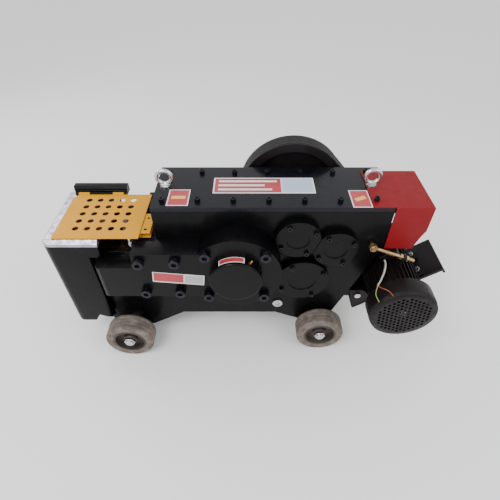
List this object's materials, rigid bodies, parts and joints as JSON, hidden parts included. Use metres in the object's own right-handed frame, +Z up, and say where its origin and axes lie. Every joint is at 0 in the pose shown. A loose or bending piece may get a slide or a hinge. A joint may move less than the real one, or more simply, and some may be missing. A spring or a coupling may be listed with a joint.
{
  "type": "rebar cutting machine",
  "caption": "Closed-gearbox bar shear: belt-driven flywheel, spur gears and a crank push a bladed ram against a blade in the jaw head, on wheels with a hinged mouth guard",
  "frame": {"origin": "Middle of the outline on the ground, between the wheels", "axes": "+X from the jaw head to the motor, +Y from the front, where the crank boss is, to the flywheel side, +Z up"},
  "size_m": [1.4188, 0.533, 0.7469],
  "materials": {
    "black_paint": "gloss machine enamel",
    "red_paint": "satin powder coat",
    "yellow_paint": "satin powder coat",
    "motor_paint": "satin enamel",
    "ground_steel": "ground",
    "bright_steel": "bright zinc plated",
    "dark_steel": "black oxide",
    "machined_steel": "turned and ground",
    "gear_steel": "hobbed and oiled",
    "blade_steel": "hardened tool steel",
    "bearing_steel": "polished",
    "flywheel_iron": "turned and painted",
    "hub_iron": "painted",
    "bronze": "turned bronze",
    "brass": "turned brass",
    "yellow_zinc": "yellow zinc plated",
    "belt_rubber": "matte",
    "tyre": "matte with fine ribs",
    "black_plastic": "matte",
    "lead_sheath": "soft PVC"
  },
  "bodies": {
    "frame": {"front_side_plate": "black_paint", "rear_side_plate": "black_paint", "floor_plate": "black_paint", "slant_wall": "black_paint", "ram_guide": "black_paint", "top_cover": "black_paint", "cover_bolts": "dark_steel", "eye_bolts": "bright_steel", "rear_hood": "red_paint", "jaw_head": "black_paint", "head_plate": "ground_steel", "front_housing": "black_paint", "rear_housing": "black_paint", "housing_bolts": "dark_steel", "crank_cap": "black_paint", "grease_nipple": "brass", "crank_bushes": "bronze", "ram_liners": "bronze", "fixed_blade": "blade_steel", "shaft_bearings": "bearing_steel", "bearing_caps": "black_paint", "cap_screws": "dark_steel", "drain_plug": "bright_steel", "drive_belts": "belt_rubber", "stator_frame": "motor_paint", "motor_end_shields": "motor_paint", "fan_cover": "motor_paint", "terminal_box": "motor_paint", "motor_plate": "motor_paint", "motor_bolts": "bright_steel", "tension_rod": "yellow_zinc", "motor_lead": "lead_sheath", "guard_hinge": "black_paint", "guard_rest": "yellow_paint", "wheel_axles": "bright_steel"},
    "drive_rotor": {"flywheel": "flywheel_iron", "input_shaft": "machined_steel"},
    "second_rotor": {"second_shaft": "machined_steel", "second_gear": "gear_steel"},
    "third_rotor": {"third_shaft": "machined_steel", "third_gear": "gear_steel"},
    "crank": {"crankshaft": "machined_steel", "crank_gear": "gear_steel"},
    "rod": {"connecting_rod": "machined_steel", "wrist_pin": "machined_steel"},
    "ram_slide_body": {"ram": "machined_steel", "moving_blade": "blade_steel"},
    "motor_rotor": {"rotor_shaft": "machined_steel", "motor_fan": "black_plastic", "motor_pulley": "flywheel_iron"},
    "guard": {"mouth_guard": "yellow_paint", "guard_latch": "bright_steel"},
    "front_left_wheel": {"front_left_hub": "hub_iron", "front_left_tyre": "tyre"},
    "rear_left_wheel": {"rear_left_hub": "hub_iron", "rear_left_tyre": "tyre"},
    "front_right_wheel": {"front_right_hub": "hub_iron", "front_right_tyre": "tyre"},
    "rear_right_wheel": {"rear_right_hub": "hub_iron", "rear_right_tyre": "tyre"}
  },
  "joints": [
    {"name": "flywheel_spin", "type": "hinge", "parent": "frame", "child": "drive_rotor", "pos_m": [0.14059, 0.0275, 0.55237], "axis": [0, 1, 0], "continuous": true},
    {"name": "second_spin", "type": "hinge", "parent": "frame", "child": "second_rotor", "pos_m": [0.27099, 0.0275, 0.50721], "axis": [0, 1, 0], "continuous": true},
    {"name": "third_spin", "type": "hinge", "parent": "frame", "child": "third_rotor", "pos_m": [0.17134, 0.0275, 0.35492], "axis": [0, 1, 0], "continuous": true},
    {"name": "crank_spin", "type": "hinge", "parent": "frame", "child": "crank", "pos_m": [-0.06439, 0.0275, 0.444], "axis": [0, 1, 0], "continuous": true},
    {"name": "rod_swing", "type": "hinge", "parent": "crank", "child": "rod", "pos_m": [-0.04239, 0.0275, 0.444], "axis": [0, 1, 0], "continuous": true},
    {"name": "motor_spin", "type": "hinge", "parent": "frame", "child": "motor_rotor", "pos_m": [0.49861, 0.0275, 0.347], "axis": [0, 1, 0], "continuous": true},
    {"name": "ram_slide", "type": "slide", "parent": "frame", "child": "ram_slide_body", "axis": [-1, 0, 0], "range_m": [0, 0.044]},
    {"name": "guard_swing", "type": "hinge", "parent": "frame", "child": "guard", "pos_m": [-0.51439, 0.1375, 0.5585], "axis": [-1, 0, 0], "range_deg": [0, 100]},
    {"name": "front_left_wheel_spin", "type": "hinge", "parent": "frame", "child": "front_left_wheel", "pos_m": [-0.49039, 0.0275, 0.0925], "axis": [0, 1, 0], "continuous": true},
    {"name": "rear_left_wheel_spin", "type": "hinge", "parent": "frame", "child": "rear_left_wheel", "pos_m": [-0.49039, 0.0275, 0.0925], "axis": [0, 1, 0], "continuous": true},
    {"name": "front_right_wheel_spin", "type": "hinge", "parent": "frame", "child": "front_right_wheel", "pos_m": [0.26061, 0.0275, 0.0925], "axis": [0, 1, 0], "continuous": true},
    {"name": "rear_right_wheel_spin", "type": "hinge", "parent": "frame", "child": "rear_right_wheel", "pos_m": [0.26061, 0.0275, 0.0925], "axis": [0, 1, 0], "continuous": true}
  ],
  "couplings": [
    {"joint": "second_spin", "follows": "flywheel_spin", "ratio": -0.33333},
    {"joint": "third_spin", "follows": "flywheel_spin", "ratio": 0.11275},
    {"joint": "crank_spin", "follows": "flywheel_spin", "ratio": -0.035233},
    {"joint": "rod_swing", "follows": "flywheel_spin", "ratio": 0.035233},
    {"joint": "motor_spin", "follows": "flywheel_spin", "ratio": 3.4364}
  ]
}
